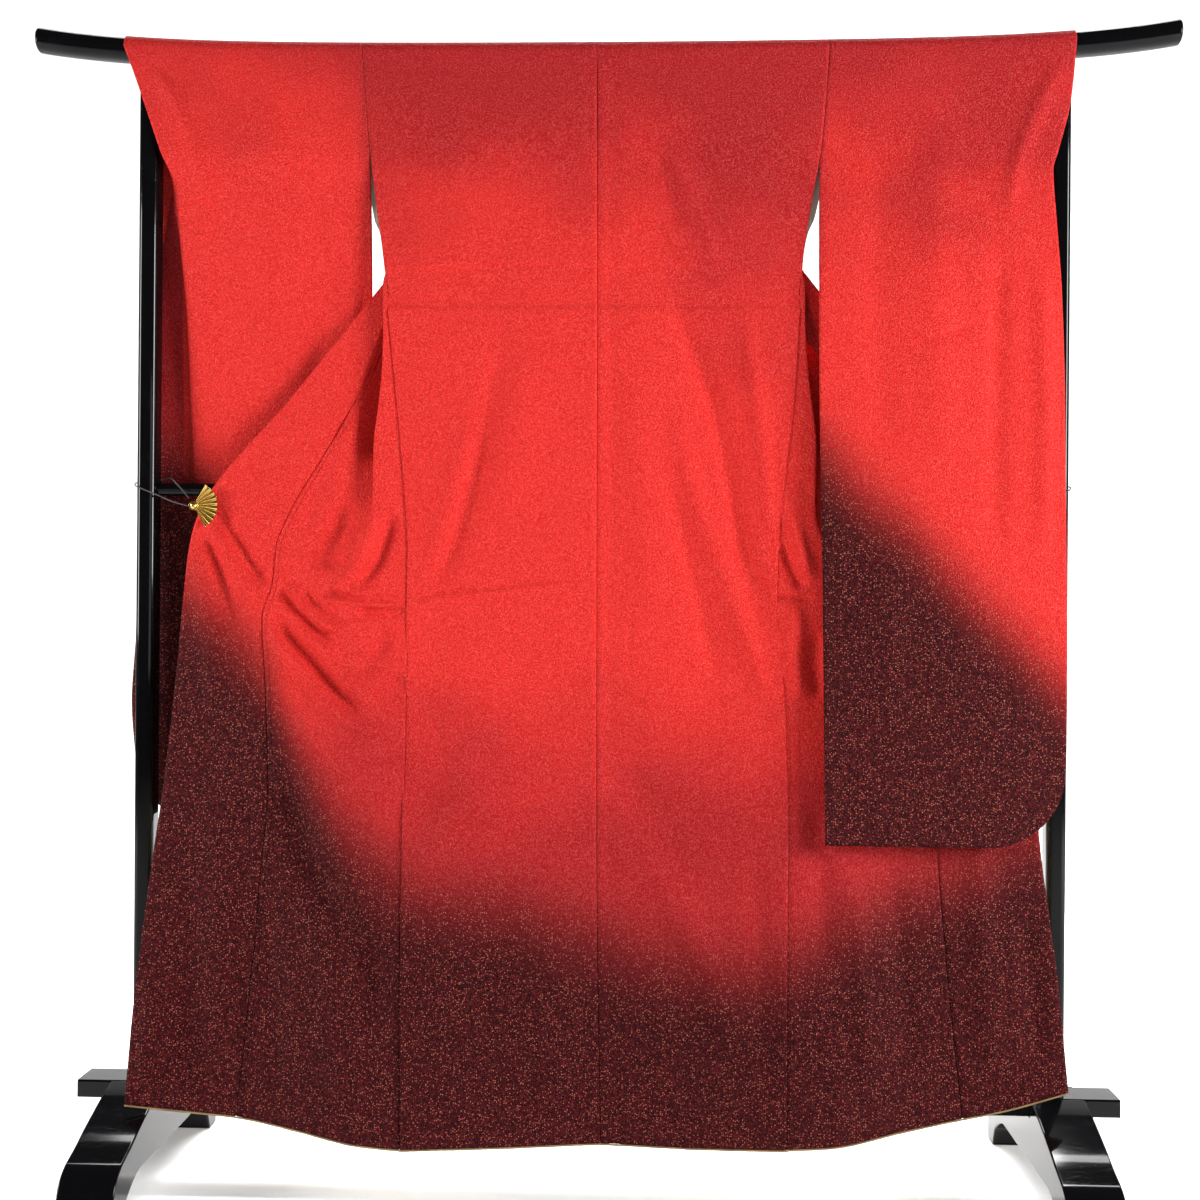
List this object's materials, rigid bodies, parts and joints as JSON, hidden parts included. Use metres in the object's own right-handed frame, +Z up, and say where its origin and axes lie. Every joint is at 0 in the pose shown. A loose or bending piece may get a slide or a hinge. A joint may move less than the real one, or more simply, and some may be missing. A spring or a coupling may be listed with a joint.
{
  "type": "furisode kimono on a kimono stand",
  "caption": "Long-sleeved ceremonial kimono draped over the bar of a lacquered stand, back to the viewer, its fronts spread to the posts by clips on elastic loops.",
  "frame": {"origin": "on the floor under the middle of the whole object, cloth included", "axes": "+Z up, +X along the bar towards the garment's right-hand sleeve as seen from its back, -Y towards the viewer, the side on which the garment's back shows"},
  "size_m": [1.598, 0.452, 1.6229],
  "materials": {
    "silk": "soft crepe, red dyed into dark maroon below",
    "hem_silk": "plain ochre lining silk",
    "lacquer": "gloss black lacquer over wood",
    "gilt": "gilt sheet metal, lightly brushed",
    "elastic": "thin braided elastic"
  },
  "bodies": {
    "root": {"top_bar": "lacquer", "post_left": "lacquer", "post_right": "lacquer", "middle_rail": "lacquer", "tie_beam": "lacquer", "foot_left": "lacquer", "foot_right": "lacquer", "body_left": "silk", "body_right": "silk", "overlap_left": "silk", "overlap_right": "silk", "collar": "silk", "sleeve_left": "silk", "sleeve_right": "silk", "hem_lining_left": "hem_silk", "hem_lining_right": "hem_silk", "clip_left": "gilt", "clip_right": "gilt", "clip_cord_left": "elastic", "clip_cord_right": "elastic"}
  },
  "joints": []
}
